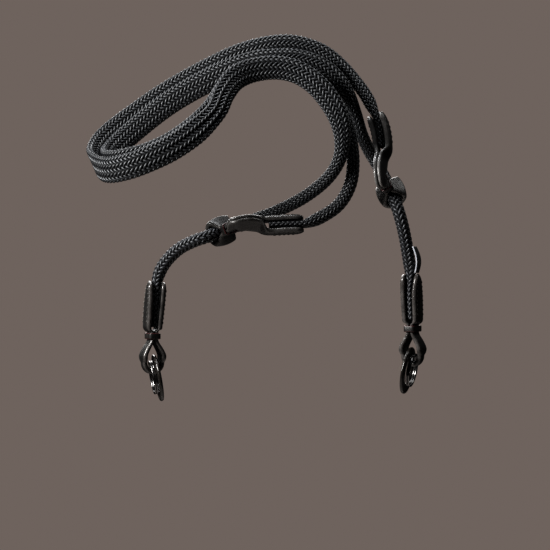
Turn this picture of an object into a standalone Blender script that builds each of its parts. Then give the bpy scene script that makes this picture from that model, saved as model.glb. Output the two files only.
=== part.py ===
"""A double rope camera strap, held up in the form that it hangs in.

Two braided cords run doubled round the neck. Each has one end clamped in the leather slider
that runs on the other, so the strap gets longer or shorter. At each outer end a folded leather
strip holds a split ring and a guard disc. The origin is the underside of the neck band at the
top of the arch, where the strap hangs. +Z is up and -Y is the front.
"""
import math
from collections import namedtuple

import bmesh
import bpy
from mathutils import Vector

MM = 0.001

# The cords
CORD_DIAMETER = 0.0070
NECK_WIDTH = 0.0132
NECK_THICKNESS = 0.0048
CLAMPED_DEPTH = 0.0084
EDGE_POINTS = 6
EDGE_ARC = math.radians(75)
CORD_STEP = 0.0072
HEADING_REACH = 0.0015
STEADY_REACH = 5
STEADY_SHARE = 0.6

# The leather strips
LEATHER = 0.0020
WRAP_SLOT = 0.0037
WRAP_CUP = 0.0006
WRAP_LEAD = 0.0018
STRIP_WIDTH = 0.0105
PAIR_GAP = 0.0003
CLEARANCE = 0.0003
STRIP_SHARES = (-1.0, -0.4, 0.4, 1.0)

# The two outer ends
END_WRAP_LENGTH = 0.0245
END_NECK_LENGTH = 0.0032
END_FOLD_REACH = 0.0126
END_BULGE = 0.0040
END_BULGE_AT = 0.72
END_FOLD_RADIUS = 0.0036
END_FOLD_WIDTH = 0.0052

# The two sliders
SLIDER_WRAP_LENGTH = 0.0190
SLIDER_FOLD_REACH = 0.0062
SLIDER_FOLD_PLAY = 0.0008
SLIDER_PAIR_WIDTH = 0.0080
SLIDER_NECK_WIDTH = 0.0070

# The keepers, rings, guards and tag
KEEPER_LENGTH = 0.0033
KEEPER_WALL = 0.0008
RING_DIAMETER = 0.0185
RING_WIRE = 0.0015
RING_TURN = 0.0011
RING_GROOVE = 0.18
RING_PLAY = 0.0034
RING_OFFSET = 0.0010
RING_SIDES = 32
GUARD_DIAMETER = 0.0258
GUARD_HOLE = 0.0150
GUARD_PLAY = 0.0025
GUARD_THICKNESS = 0.0018
GUARD_ROUNDING = 0.3
GUARD_SIDES = 36
RING_LEAN = math.radians(10)
TAG_HEIGHT = 0.0145
TAG_WIDTH = 0.0058
TAG_THICKNESS = 0.0012
TAG_BOW = 0.0018
TAG_END_SHARE = 0.8
TAG_STAND = 0.0038

# The routes of the cords, chosen by hand from the photo, in millimetres: across, depth, up
OUTER_ROUTE = [
    (-71.5, 0, -133.5), (-70.5, 0, -121.5), (-69, 0, -108.5), (-65, -2, -99.5), (-57, -5, -91.5),
    (-48, -8, -87), (-42, -8, -85), (-33.5, -2.5, -81.5), (-24, 4.5, -78), (-14, 5, -74.5),
    (-4.5, 1.5, -71), (10, -6.5, -64), (22, -13, -55), (29, -18, -45), (31, -20, -33),
    (28, -20, -20), (20, -18, -7), (9, -15.5, 2), (-3.5, -14, 5.5), (-17, -14.5, 4),
    (-26.5, -18.5, -1), (-32, -24.5, -9.5), (-36, -30, -19.5), (-46, -34.5, -30),
    (-58.5, -36.5, -39), (-71, -36, -45), (-83, -32.5, -49), (-93.5, -24, -50),
    (-100.5, -10, -46.5), (-102.5, 5, -39.5), (-98.5, 16, -30), (-87.5, 21, -20),
    (-66, 20.5, -5), (-43.5, 16, 7.5), (-21.5, 11, 17), (0.5, 8, 21.5), (18.5, 7, 17.5),
    (32, 6, 8), (43, 3, -5), (49, -1, -17), (52.5, -3, -27.5), (53.5, -4, -36.5)]
INNER_ROUTE = [
    (70, 0, -129.5), (69.5, 0, -118), (69, 0, -105.5), (67.5, -1.5, -95.5), (65, -5.5, -83),
    (62.5, -7, -73.5), (60.5, -5, -67), (58, 0, -60), (54.5, 7, -51), (50.5, 10.5, -43),
    (46.5, 9, -36.5), (42.5, 5, -28.5), (38.5, 2, -17), (33, 0, -5), (23.5, 0, 5.5), (11.5, 0, 11),
    (-2, 0, 12), (-18.5, 2.5, 10), (-41, 8, 1.5), (-63, 12.5, -10.5), (-83, 13.5, -26),
    (-92.5, 8, -36), (-95, -3, -42), (-92, -16.5, -45), (-84.5, -25.5, -45), (-71.5, -29.5, -42),
    (-59, -29.5, -36), (-47.5, -27, -27), (-38.5, -21.5, -17), (-32, -15.5, -6.5),
    (-25, -10, 1.5), (-15, -7, 5.5), (-2.5, -7, 6.5), (10, -8, 3), (22, -10.5, -6.5),
    (31, -12.5, -19), (35.5, -13, -32), (37, -13, -45), (35.5, -12, -57), (30, -10.5, -67),
    (21.5, -10.5, -73.5), (11, -11, -78), (1, -11, -78.5), (-8.5, -11, -79)]

# Along each cord, as shares of its length: how far it is spread to the neck band, and how deep
# the creases along its face are, as a share of the band's thickness
Spread = namedtuple("Spread", "along spread crease")
OUTER_SPREAD = [
    Spread(0.00, 0.0, 0.0), Spread(0.25, 0.0, 0.0), Spread(0.33, 0.85, 0.0), Spread(0.41, 1.0, 0.0),
    Spread(0.46, 0.72, 0.16), Spread(0.49, 1.1, 0.1), Spread(0.55, 1.1, 0.0), Spread(0.72, 1.0, 0.0),
    Spread(0.80, 0.85, 0.0), Spread(0.88, 0.45, 0.0), Spread(0.94, 0.0, 0.0), Spread(1.00, 0.0, 0.0)]
INNER_SPREAD = [
    Spread(0.00, 0.0, 0.0), Spread(0.20, 0.0, 0.0), Spread(0.28, 0.6, 0.0), Spread(0.38, 1.05, 0.0),
    Spread(0.48, 0.95, 0.0), Spread(0.60, 0.95, 0.0), Spread(0.68, 0.6, 0.1), Spread(0.75, 0.8, 0.0),
    Spread(0.82, 0.2, 0.0), Spread(0.88, 0.0, 0.0), Spread(1.00, 0.0, 0.0)]

# How far each end is turned about the upright: the leather's wrap, its fold, and the ring
Turns = namedtuple("Turns", "wrap fold ring")
END_TURNS = {
    "left": Turns(math.radians(-20), math.radians(-24), math.radians(-11)),
    "right": Turns(math.radians(28), math.radians(29), math.radians(18))}

# The sliders: which way the strip's width points at the wrap, the middle of the neck in
# millimetres, and the side of the cord that the keeper lies on
Slider = namedtuple("Slider", "wrap_width neck neck_width toward collar_at")
SLIDERS = {
    "right": Slider((0.26, 0.97, 0.0), [(52.5, -7.5, -43), (51.5, -11.5, -48.5), (52, -12.5, -54)],
                    (0.55, 0.8, 0.2), (0.35, 0.9, -0.3), 7),
    "left": Slider((0.0, 0.98, -0.15), [(-14.5, -13, -78), (-20, -15.5, -77.5), (-25, -15.5, -78.5)],
                   (0.3, 0.9, 0.1), (-0.55, 0.80, -0.18), 7)}

COLOURS = {
    "cord": ((0.016, 0.018, 0.024), 0.55, 0.0),
    "leather": ((0.014, 0.012, 0.011), 0.35, 0.0),
    "keeper": ((0.050, 0.012, 0.012), 0.45, 0.0),
    "metal": ((0.070, 0.068, 0.066), 0.3, 1.0),
    "tag": ((0.020, 0.020, 0.020), 0.4, 0.0)}


def clear_scene():
    """Remove everything that the scene holds."""
    for thing in list(bpy.data.objects):
        bpy.data.objects.remove(thing, do_unlink=True)


def make_material(name, kind):
    """A Principled material in one of the strap's colours."""
    colour, roughness, metallic = COLOURS[kind]
    material = bpy.data.materials.new(name)
    material.use_nodes = True
    shader = material.node_tree.nodes["Principled BSDF"]
    shader.inputs["Base Color"].default_value = (*colour, 1.0)
    shader.inputs["Roughness"].default_value = roughness
    shader.inputs["Metallic"].default_value = metallic
    material.diffuse_color = (*colour, 1.0)
    return material


def add_object(name, mesh_data, kind, smooth=True):
    """Put a finished bmesh into the strap's collection as one named object."""
    bmesh.ops.recalc_face_normals(mesh_data, faces=mesh_data.faces)
    mesh = bpy.data.meshes.new(name)
    mesh_data.to_mesh(mesh)
    mesh_data.free()
    if smooth:
        mesh.shade_smooth()
        mesh.set_sharp_from_angle(angle=math.radians(40))
    mesh.materials.append(make_material(name + "_finish", kind))
    part = bpy.data.objects.new(name, mesh)
    strap.objects.link(part)
    return part


def blend(low, high, share):
    """Part of the way from low to high."""
    return low + (high - low) * share


def ease(share):
    """A share with a soft start and end, held between 0 and 1."""
    share = min(max(share, 0.0), 1.0)
    return share * share * (3 - 2 * share)


class Route:
    """A smooth curve through chosen points, read by the distance along it."""

    PIECES = 12

    def __init__(self, points):
        self.points = []
        self.lengths = [0.0]
        for index in range(len(points) - 1):
            before = points[max(index - 1, 0)]
            after = points[min(index + 2, len(points) - 1)]
            for piece in range(self.PIECES):
                self.points.append(spline(before, points[index], points[index + 1], after, piece / self.PIECES))
        self.points.append(points[-1].copy())
        for first, second in zip(self.points, self.points[1:]):
            self.lengths.append(self.lengths[-1] + (second - first).length)
        self.length = self.lengths[-1]

    def at_point(self, index):
        """The distance along the curve of one of the chosen points."""
        return self.lengths[index * self.PIECES]

    def place(self, distance):
        """The point at a distance along the curve."""
        distance = min(max(distance, 0.0), self.length)
        index = 0
        while index < len(self.lengths) - 2 and self.lengths[index + 1] < distance:
            index += 1
        span = self.lengths[index + 1] - self.lengths[index]
        return self.points[index].lerp(self.points[index + 1], (distance - self.lengths[index]) / span)

    def heading(self, distance):
        """The direction of travel at a distance along the curve."""
        return (self.place(distance + HEADING_REACH) - self.place(distance - HEADING_REACH)).normalized()


def spline(before, start, end, after, share):
    """A point between start and end on the smooth curve through all four."""
    pull_in = (end - before) * 0.5
    pull_out = (after - start) * 0.5
    square, cube = share ** 2, share ** 3
    return (start * (2 * cube - 3 * square + 1) + pull_in * (cube - 2 * square + share)
            + end * (3 * square - 2 * cube) + pull_out * (cube - square))


def band_directions(route, distances):
    """The way the neck band's width points: in the front view, square to the cord."""
    raw, weights = [], []
    steady = None
    for distance in distances:
        heading = route.heading(distance)
        across = Vector((heading.z, 0.0, -heading.x))
        weights.append(across.length ** 3)
        if steady and across.dot(steady) < 0:
            across = -across
        if across.length > STEADY_SHARE:
            steady = across
        raw.append(across)
    directions = []
    for index, distance in enumerate(distances):
        total = Vector()
        for near in range(max(index - STEADY_REACH, 0), min(index + STEADY_REACH + 1, len(raw))):
            total += raw[near] * weights[near] / (1 + abs(near - index))
        heading = route.heading(distance)
        directions.append((total - heading * total.dot(heading)).normalized())
    return directions


def read_spread(table, share):
    """The spread and crease at a share of the cord's length."""
    for low, high in zip(table, table[1:]):
        if share <= high.along:
            part = ease((share - low.along) / (high.along - low.along))
            return blend(low.spread, high.spread, part), blend(low.crease, high.crease, part)
    return table[-1].spread, table[-1].crease


def squeeze_at(distance, length, first_wrap, last_wrap):
    """1 inside the wraps at the cord's two ends, 0 on the free cord."""
    first = 1 - ease((distance - first_wrap - WRAP_LEAD) / CORD_DIAMETER)
    last = 1 - ease((length - last_wrap - WRAP_LEAD - distance) / CORD_DIAMETER)
    return max(first, last)


def cord_section(width, thickness, crease):
    """The outline of the cord: two round edges and a crowned or creased face on each side."""
    flat = max(width - thickness, 0.0) / 2
    outline = []
    for side in (1, -1):
        for index in range(EDGE_POINTS):
            angle = EDGE_ARC * (2 * index / (EDGE_POINTS - 1) - 1)
            outline.append((side * (flat + thickness / 2 * math.cos(angle)), side * thickness / 2 * math.sin(angle)))
        outline.append((0.0, side * thickness / 2 * (1 - crease * 2)))
    return outline


def make_cord(name, route, table, first_wrap, last_wrap):
    """Loft one braided cord along its route. A wrap is its length and its width direction."""
    count = round(route.length / CORD_STEP)
    distances = [route.length * index / count for index in range(count + 1)]
    directions = band_directions(route, distances)
    cord = bmesh.new()
    rings = []
    for distance, across in zip(distances, directions):
        spread, crease = read_spread(table, distance / route.length)
        squeeze = squeeze_at(distance, route.length, first_wrap.length, last_wrap.length)
        width = blend(blend(CORD_DIAMETER, NECK_WIDTH, spread), WRAP_SLOT, squeeze)
        thickness = blend(blend(CORD_DIAMETER, NECK_THICKNESS, spread), CLAMPED_DEPTH, squeeze)
        heading = route.heading(distance)
        wrap = first_wrap if distance < route.length / 2 else last_wrap
        clamped = heading.cross(wrap.way).normalized()
        if clamped.dot(across) < 0:
            clamped = -clamped
        across = across.lerp(clamped, squeeze).normalized()
        outward = heading.cross(across)
        centre = route.place(distance)
        ring = []
        if width >= thickness:
            outline = cord_section(width, thickness, crease)
        else:
            outline = [(y, -x) for x, y in cord_section(thickness, width, 0.0)]
        shift = 0 if width >= thickness else EDGE_POINTS // 2
        outline = outline[shift:] + outline[:shift]
        for x, y in outline:
            ring.append(cord.verts.new(centre + across * x + outward * y))
        rings.append(ring)
    skin(cord, rings)
    cord.faces.new(rings[0])
    cord.faces.new(rings[-1])
    return add_object(name, cord, "cord")


def skin(mesh_data, rings, closed=False):
    """Join each ring of points to the next with four-sided faces."""
    pairs = list(zip(rings, rings[1:]))
    if closed:
        pairs.append((rings[-1], rings[0]))
    for low, high in pairs:
        for index in range(len(low)):
            after = (index + 1) % len(low)
            mesh_data.faces.new((low[index], low[after], high[after], high[index]))


Wrap = namedtuple("Wrap", "length way")
Station = namedtuple("Station", "place width_way half_gap width cup heading", defaults=(None,))


def read_stations(stations, steps):
    """Smooth stations between the chosen ones: places on a curve, sizes eased from one to the next."""
    places = [station.place for station in stations]
    smooth = []
    for index in range(len(stations) - 1):
        low, high = stations[index], stations[index + 1]
        before, after = places[max(index - 1, 0)], places[min(index + 2, len(places) - 1)]
        last = index == len(stations) - 2
        for step in range(steps[index] + (1 if last else 0)):
            share = step / steps[index]
            part = ease(share)
            smooth.append(Station(
                spline(before, low.place, high.place, after, share),
                low.width_way.lerp(high.width_way, part).normalized(),
                blend(low.half_gap, high.half_gap, part),
                blend(low.width, high.width, part),
                blend(low.cup, high.cup, part),
                (low.heading if step == 0 else high.heading if step == steps[index] else None)))
    return smooth


def strip_frames(smooth):
    """The heading, width direction and leg direction at each station."""
    frames = []
    for index, station in enumerate(smooth):
        before = smooth[max(index - 1, 0)].place
        after = smooth[min(index + 1, len(smooth) - 1)].place
        heading = station.heading or (after - before).normalized()
        across = (station.width_way - heading * station.width_way.dot(heading)).normalized()
        frames.append((heading, across, heading.cross(across)))
    return frames


def make_strip(name, stations, steps, fold_steps=8):
    """One leather strip: down one leg, round the fold and up the other leg."""
    smooth = read_stations(stations, steps)
    frames = strip_frames(smooth)
    path = []
    for station, (heading, across, out) in zip(smooth, frames):
        path.append((station.place + out * station.half_gap, across, out, station.width, station.cup))
    last, (heading, across, out) = smooth[-1], frames[-1]
    for step in range(1, fold_steps):
        angle = math.pi * step / fold_steps
        way = out * math.cos(angle) + heading * math.sin(angle)
        path.append((last.place + way * last.half_gap, across, way, last.width, last.cup))
    for station, (heading, across, out) in reversed(list(zip(smooth, frames))):
        path.append((station.place - out * station.half_gap, across, -out, station.width, station.cup))
    strip = bmesh.new()
    rings = []
    for centre, across, way, width, cup in path:
        inner, outer = [], []
        for share in STRIP_SHARES:
            middle = centre + across * (share * width / 2) + way * (cup * (1 - share * share))
            inner.append(strip.verts.new(middle - way * (LEATHER / 2)))
            outer.append(strip.verts.new(middle + way * (LEATHER / 2)))
        rings.append(inner + outer[::-1])
    skin(strip, rings)
    for ring in (rings[0], rings[-1]):
        for index in range(3):
            strip.faces.new((ring[index], ring[index + 1], ring[6 - index], ring[7 - index]))
    return add_object(name, strip, "leather")


def make_keeper(name, centre, heading, across, width):
    """The band round the two legs, as a four-sided frame."""
    out = heading.cross(across)
    half_out = PAIR_GAP / 2 + LEATHER + CLEARANCE
    half_across = width / 2 + CLEARANCE
    keeper = bmesh.new()
    rings = []
    for side_out, side_across in ((1, 1), (1, -1), (-1, -1), (-1, 1)):
        ring = []
        for wall, end in ((0, -1), (0, 1), (KEEPER_WALL, 1), (KEEPER_WALL, -1)):
            place = centre + out * side_out * (half_out + wall) + across * side_across * (half_across + wall)
            ring.append(keeper.verts.new(place + heading * (end * KEEPER_LENGTH / 2)))
        rings.append(ring)
    skin(keeper, rings, closed=True)
    return add_object(name, keeper, "keeper", smooth=False)


PAIR_HALF_GAP = (PAIR_GAP + LEATHER) / 2
WRAP_HALF_GAP = (WRAP_SLOT + LEATHER) / 2
PAIR_NARROWING = 0.9


def end_way(turn):
    """The way an end leather's width points, turned about the upright."""
    return Vector((math.sin(turn), math.cos(turn), 0.0))


def make_end(side, route):
    """One outer end: the strip on the cord, its keeper, the ring, the guard."""
    turns = END_TURNS[side]
    wrap_way = end_way(turns.wrap)
    fold_way = end_way(turns.fold)
    ring_way = end_way(turns.ring)
    down = Vector((0, 0, -1))
    top = route.place(END_WRAP_LENGTH)
    middle = route.place(END_WRAP_LENGTH / 2)
    bottom = route.place(0)
    keeper_top = bottom + down * END_NECK_LENGTH
    keeper_bottom = keeper_top + down * (KEEPER_LENGTH + 2 * CLEARANCE)
    fold = keeper_bottom + down * END_FOLD_REACH
    bulge = blend(keeper_bottom, fold, END_BULGE_AT)
    bulge_half_gap = END_BULGE + LEATHER / 2
    fold_half_gap = END_FOLD_RADIUS + LEATHER / 2
    pair_width = STRIP_WIDTH * PAIR_NARROWING
    stations = [
        Station(top, wrap_way, WRAP_HALF_GAP, STRIP_WIDTH, WRAP_CUP),
        Station(middle, wrap_way, WRAP_HALF_GAP, STRIP_WIDTH, WRAP_CUP),
        Station(bottom, wrap_way, WRAP_HALF_GAP, STRIP_WIDTH, WRAP_CUP),
        Station(keeper_top, wrap_way, PAIR_HALF_GAP, pair_width, 0.0, down),
        Station(keeper_bottom, wrap_way, PAIR_HALF_GAP, pair_width, 0.0, down),
        Station(bulge, fold_way, bulge_half_gap, pair_width, 0.0),
        Station(fold, fold_way, fold_half_gap, END_FOLD_WIDTH, 0.0, down)]
    make_strip(side + "_end_leather", stations, (3, 3, 4, 1, 6, 3))
    make_keeper(side + "_end_keeper", (keeper_top + keeper_bottom) / 2, down, wrap_way, pair_width)
    outward = -1 if side == "left" else 1
    make_ring(side, fold, ring_way, outward)
    make_guard(side, fold, ring_way, outward)


def turned(name, profile, sides, centre, axis, hang, kind):
    """Turn a closed profile of (radius, along) points about an axis through centre."""
    body = bmesh.new()
    cross = axis.cross(hang)
    rings = []
    for index in range(sides):
        angle = 2 * math.pi * index / sides
        way = hang * math.cos(angle) + cross * math.sin(angle)
        rings.append([body.verts.new(centre + way * radius + axis * along) for radius, along in profile])
    skin(body, rings, closed=True)
    return add_object(name, body, kind)


def hanging_frame(ring_way, outward):
    """The axis of a ring in the fold, and the way it hangs, leaning in at the bottom."""
    level = Vector((ring_way.y, -ring_way.x, 0.0)) * outward
    down = Vector((0, 0, -1))
    hang = down * math.cos(RING_LEAN) - level * math.sin(RING_LEAN)
    axis = level * math.cos(RING_LEAN) + down * math.sin(RING_LEAN)
    return axis, hang


def make_ring(side, fold, ring_way, outward):
    """The split ring: two turns of flat wire."""
    axis, hang = hanging_frame(ring_way, outward)
    inner = RING_DIAMETER / 2 - RING_WIRE
    groove = RING_WIRE * RING_GROOVE
    notch = RING_TURN * RING_GROOVE
    outer = RING_DIAMETER / 2
    profile = [
        (inner, -RING_TURN), (outer, -RING_TURN), (outer, -notch), (outer - groove, 0), (outer, notch),
        (outer, RING_TURN), (inner, RING_TURN), (inner, notch), (inner + groove, 0), (inner, -notch)]
    drop = inner + END_FOLD_RADIUS - RING_PLAY
    centre = fold + hang * drop + axis * RING_OFFSET
    turned(side + "_split_ring", profile, RING_SIDES, centre, axis, hang, "metal")


def make_guard(side, fold, ring_way, outward):
    """The guard: a leather disc with a hole, on the camera's side of the ring."""
    axis, hang = hanging_frame(ring_way, outward)
    inner, outer = GUARD_HOLE / 2, GUARD_DIAMETER / 2
    half = GUARD_THICKNESS / 2
    edge = GUARD_THICKNESS * GUARD_ROUNDING
    profile = [
        (inner, -half), (outer - edge, -half), (outer, -half + edge), (outer, half - edge),
        (outer - edge, half), (inner, half)]
    drop = inner + END_FOLD_RADIUS - GUARD_PLAY
    centre = fold + hang * drop - axis * (RING_TURN + CLEARANCE + GUARD_THICKNESS / 2 - RING_OFFSET)
    turned(side + "_guard", profile, GUARD_SIDES, centre, axis, hang, "leather")


def make_slider(side, fixed, passing):
    """One slider: the strip clamps the end of one cord, and its collar holds the other."""
    shape = SLIDERS[side]
    top = fixed.place(fixed.length - SLIDER_WRAP_LENGTH)
    middle = fixed.place(fixed.length - SLIDER_WRAP_LENGTH / 2)
    bottom = fixed.place(fixed.length)
    wrap_way = Vector(shape.wrap_width)
    collar_at = passing.at_point(shape.collar_at)
    collar = passing.place(collar_at)
    collar_way = passing.heading(collar_at)
    if collar_way.y < 0:
        collar_way = -collar_way
    toward = Vector(shape.toward)
    toward = (toward - collar_way * toward.dot(collar_way)).normalized()
    fold_half_gap = CORD_DIAMETER / 2 + SLIDER_FOLD_PLAY + LEATHER / 2
    keeper_bottom = collar - toward * SLIDER_FOLD_REACH
    keeper_top = keeper_bottom - toward * (KEEPER_LENGTH + 2 * CLEARANCE)
    neck = [Vector(point) * MM for point in shape.neck]
    neck_way = Vector(shape.neck_width)
    stations = [
        Station(top, wrap_way, WRAP_HALF_GAP, STRIP_WIDTH * PAIR_NARROWING, WRAP_CUP),
        Station(middle, wrap_way, WRAP_HALF_GAP, STRIP_WIDTH * PAIR_NARROWING, WRAP_CUP),
        Station(bottom, wrap_way, WRAP_HALF_GAP, STRIP_WIDTH * PAIR_NARROWING, WRAP_CUP)]
    for place in neck:
        stations.append(Station(place, neck_way, PAIR_HALF_GAP, SLIDER_NECK_WIDTH, 0.0))
    stations += [
        Station(keeper_top, collar_way, PAIR_HALF_GAP, SLIDER_PAIR_WIDTH, 0.0, toward),
        Station(keeper_bottom, collar_way, PAIR_HALF_GAP, SLIDER_PAIR_WIDTH, 0.0, toward),
        Station(collar, collar_way, fold_half_gap, SLIDER_PAIR_WIDTH, 0.0, toward)]
    make_strip(side + "_slider_leather", stations, (2, 2, 4, 3, 3, 4, 1, 6), fold_steps=10)
    make_keeper(side + "_slider_keeper", (keeper_top + keeper_bottom) / 2, toward, collar_way, SLIDER_PAIR_WIDTH)


def make_tag(route):
    """The small sewn label above the right end leather, bowed and plain."""
    turn = END_TURNS["right"].wrap
    way = Vector((math.cos(turn), -math.sin(turn), 0.0))
    back = Vector((math.sin(turn), math.cos(turn), 0.0))
    foot = route.place(END_WRAP_LENGTH) + way * TAG_STAND - back * TAG_WIDTH / 4
    lift = route.heading(END_WRAP_LENGTH)
    tag = bmesh.new()
    rings = []
    steps = 6
    for step in range(steps + 1):
        share = step / steps
        bow = TAG_BOW * math.sin(math.pi * share)
        middle = foot + lift * (2 * CLEARANCE + TAG_HEIGHT * share) + way * (CLEARANCE + bow)
        narrow = TAG_WIDTH * blend(TAG_END_SHARE, 1.0, math.sin(math.pi * share)) / 2
        ring = []
        for side, wall in ((-1, -1), (1, -1), (1, 1), (-1, 1)):
            ring.append(tag.verts.new(middle + back * side * narrow + way * wall * TAG_THICKNESS / 2))
        rings.append(ring)
    skin(tag, rings)
    tag.faces.new(rings[0])
    tag.faces.new(rings[-1])
    return add_object("right_end_tag", tag, "tag")


clear_scene()
strap = bpy.data.collections.new("camera_strap")
bpy.context.scene.collection.children.link(strap)

outer_route = Route([Vector(point) * MM for point in OUTER_ROUTE])
inner_route = Route([Vector(point) * MM for point in INNER_ROUTE])
end_wraps = {side: Wrap(END_WRAP_LENGTH, end_way(END_TURNS[side].wrap)) for side in END_TURNS}
slider_wraps = {side: Wrap(SLIDER_WRAP_LENGTH, Vector(SLIDERS[side].wrap_width)) for side in SLIDERS}
make_cord("neck_cord_outer", outer_route, OUTER_SPREAD, end_wraps["left"], slider_wraps["right"])
make_cord("neck_cord_inner", inner_route, INNER_SPREAD, end_wraps["right"], slider_wraps["left"])
make_end("left", outer_route)
make_end("right", inner_route)
make_slider("right", outer_route, inner_route)
make_slider("left", inner_route, outer_route)
make_tag(inner_route)
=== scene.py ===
"""The looks of the double rope camera strap: braided cords, stitched leather, split rings, studio."""
import math
from collections import namedtuple

import bpy
import numpy as np
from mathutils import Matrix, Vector


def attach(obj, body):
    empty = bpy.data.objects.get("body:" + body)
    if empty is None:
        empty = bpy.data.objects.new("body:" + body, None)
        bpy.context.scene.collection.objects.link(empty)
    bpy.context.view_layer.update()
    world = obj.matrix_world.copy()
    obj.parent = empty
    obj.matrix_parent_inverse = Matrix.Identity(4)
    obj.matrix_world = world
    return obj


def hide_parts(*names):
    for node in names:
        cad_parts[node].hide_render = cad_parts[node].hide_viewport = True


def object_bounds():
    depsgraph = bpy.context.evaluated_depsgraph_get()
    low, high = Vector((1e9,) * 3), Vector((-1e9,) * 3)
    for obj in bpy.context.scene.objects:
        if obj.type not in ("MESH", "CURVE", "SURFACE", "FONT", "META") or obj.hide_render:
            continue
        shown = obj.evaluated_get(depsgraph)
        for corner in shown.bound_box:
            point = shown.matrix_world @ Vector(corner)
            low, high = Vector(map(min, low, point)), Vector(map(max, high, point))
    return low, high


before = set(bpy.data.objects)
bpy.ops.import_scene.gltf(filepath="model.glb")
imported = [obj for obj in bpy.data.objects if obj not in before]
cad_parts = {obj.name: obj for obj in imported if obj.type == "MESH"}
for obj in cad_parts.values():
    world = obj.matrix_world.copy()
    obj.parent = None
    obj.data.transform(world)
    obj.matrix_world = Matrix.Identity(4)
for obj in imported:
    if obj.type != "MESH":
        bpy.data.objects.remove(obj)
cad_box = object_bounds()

MM = 0.001

# The routes of the cords, as in the solids, in millimetres: across, depth, up
OUTER_ROUTE = [
    (-71.5, 0, -133.5), (-70.5, 0, -121.5), (-69, 0, -108.5), (-65, -2, -99.5), (-57, -5, -91.5),
    (-48, -8, -87), (-42, -8, -85), (-33.5, -2.5, -81.5), (-24, 4.5, -78), (-14, 5, -74.5),
    (-4.5, 1.5, -71), (10, -6.5, -64), (22, -13, -55), (29, -18, -45), (31, -20, -33),
    (28, -20, -20), (20, -18, -7), (9, -15.5, 2), (-3.5, -14, 5.5), (-17, -14.5, 4),
    (-26.5, -18.5, -1), (-32, -24.5, -9.5), (-36, -30, -19.5), (-46, -34.5, -30),
    (-58.5, -36.5, -39), (-71, -36, -45), (-83, -32.5, -49), (-93.5, -24, -50),
    (-100.5, -10, -46.5), (-102.5, 5, -39.5), (-98.5, 16, -30), (-87.5, 21, -20),
    (-66, 20.5, -5), (-43.5, 16, 7.5), (-21.5, 11, 17), (0.5, 8, 21.5), (18.5, 7, 17.5),
    (32, 6, 8), (43, 3, -5), (49, -1, -17), (52.5, -3, -27.5), (53.5, -4, -36.5)]
INNER_ROUTE = [
    (70, 0, -129.5), (69.5, 0, -118), (69, 0, -105.5), (67.5, -1.5, -95.5), (65, -5.5, -83),
    (62.5, -7, -73.5), (60.5, -5, -67), (58, 0, -60), (54.5, 7, -51), (50.5, 10.5, -43),
    (46.5, 9, -36.5), (42.5, 5, -28.5), (38.5, 2, -17), (33, 0, -5), (23.5, 0, 5.5), (11.5, 0, 11),
    (-2, 0, 12), (-18.5, 2.5, 10), (-41, 8, 1.5), (-63, 12.5, -10.5), (-83, 13.5, -26),
    (-92.5, 8, -36), (-95, -3, -42), (-92, -16.5, -45), (-84.5, -25.5, -45), (-71.5, -29.5, -42),
    (-59, -29.5, -36), (-47.5, -27, -27), (-38.5, -21.5, -17), (-32, -15.5, -6.5),
    (-25, -10, 1.5), (-15, -7, 5.5), (-2.5, -7, 6.5), (10, -8, 3), (22, -10.5, -6.5),
    (31, -12.5, -19), (35.5, -13, -32), (37, -13, -45), (35.5, -12, -57), (30, -10.5, -67),
    (21.5, -10.5, -73.5), (11, -11, -78), (1, -11, -78.5), (-8.5, -11, -79)]

# The sizes of the cords, as in the solids
CORD_DIAMETER = 0.0070
NECK_WIDTH = 0.0132
NECK_THICKNESS = 0.0048
CLAMPED_DEPTH = 0.0084
WRAP_SLOT = 0.0037
CORD_STEP = 0.0072
HEADING_REACH = 0.0015
STEADY_REACH = 5
STEADY_SHARE = 0.6

# A cord's end in its wrap: the wrap's length, the way its width points, the share of the wrap that
# squeezes the cord fully, and the share over which the squeeze then eases away
Wrap = namedtuple("Wrap", "length way mouth")
END_MOUTH = 0.60
SLIDER_MOUTH = 0.80
MOUTH_REACH = 0.65

# A cord's section: how square it gets where it is spread or squeezed, and the form of its creases
SQUARENESS = 0.55
CREASE_WAVES = 3.4
CREASE_DEPTH = 2.2
OUTLINE_ANGLES = 361

# The sizes of the leather, the rings, the guards and the label, as in the solids
LEATHER = 0.0020
WRAP_CUP = 0.0006
STRIP_WIDTH = 0.0105
PAIR_GAP = 0.0003
CLEARANCE = 0.0003
END_WRAP_LENGTH = 0.0245
END_NECK_LENGTH = 0.0032
END_FOLD_REACH = 0.0126
END_BULGE = 0.0040
END_BULGE_AT = 0.72
END_FOLD_RADIUS = 0.0036
END_FOLD_WIDTH = 0.0052
SLIDER_WRAP_LENGTH = 0.0190
SLIDER_FOLD_REACH = 0.0062
SLIDER_FOLD_PLAY = 0.0008
SLIDER_PAIR_WIDTH = 0.0080
PAIR_NARROWING = 0.9
PAIR_HALF_GAP = (PAIR_GAP + LEATHER) / 2
WRAP_HALF_GAP = (WRAP_SLOT + LEATHER) / 2
KEEPER_LENGTH = 0.0033
KEEPER_WALL = 0.0008
RING_DIAMETER = 0.0185
RING_WIRE = 0.0015
RING_TURN = 0.0011
RING_PLAY = 0.0034
RING_OFFSET = 0.0010
RING_LEAN = math.radians(10)
GUARD_DIAMETER = 0.0258
GUARD_HOLE = 0.0150
GUARD_PLAY = 0.0025
GUARD_THICKNESS = 0.0018
TAG_HEIGHT = 0.0145
TAG_WIDTH = 0.0058
TAG_THICKNESS = 0.0012
TAG_BOW = 0.0018
TAG_END_SHARE = 0.8
TAG_STAND = 0.0038

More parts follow.
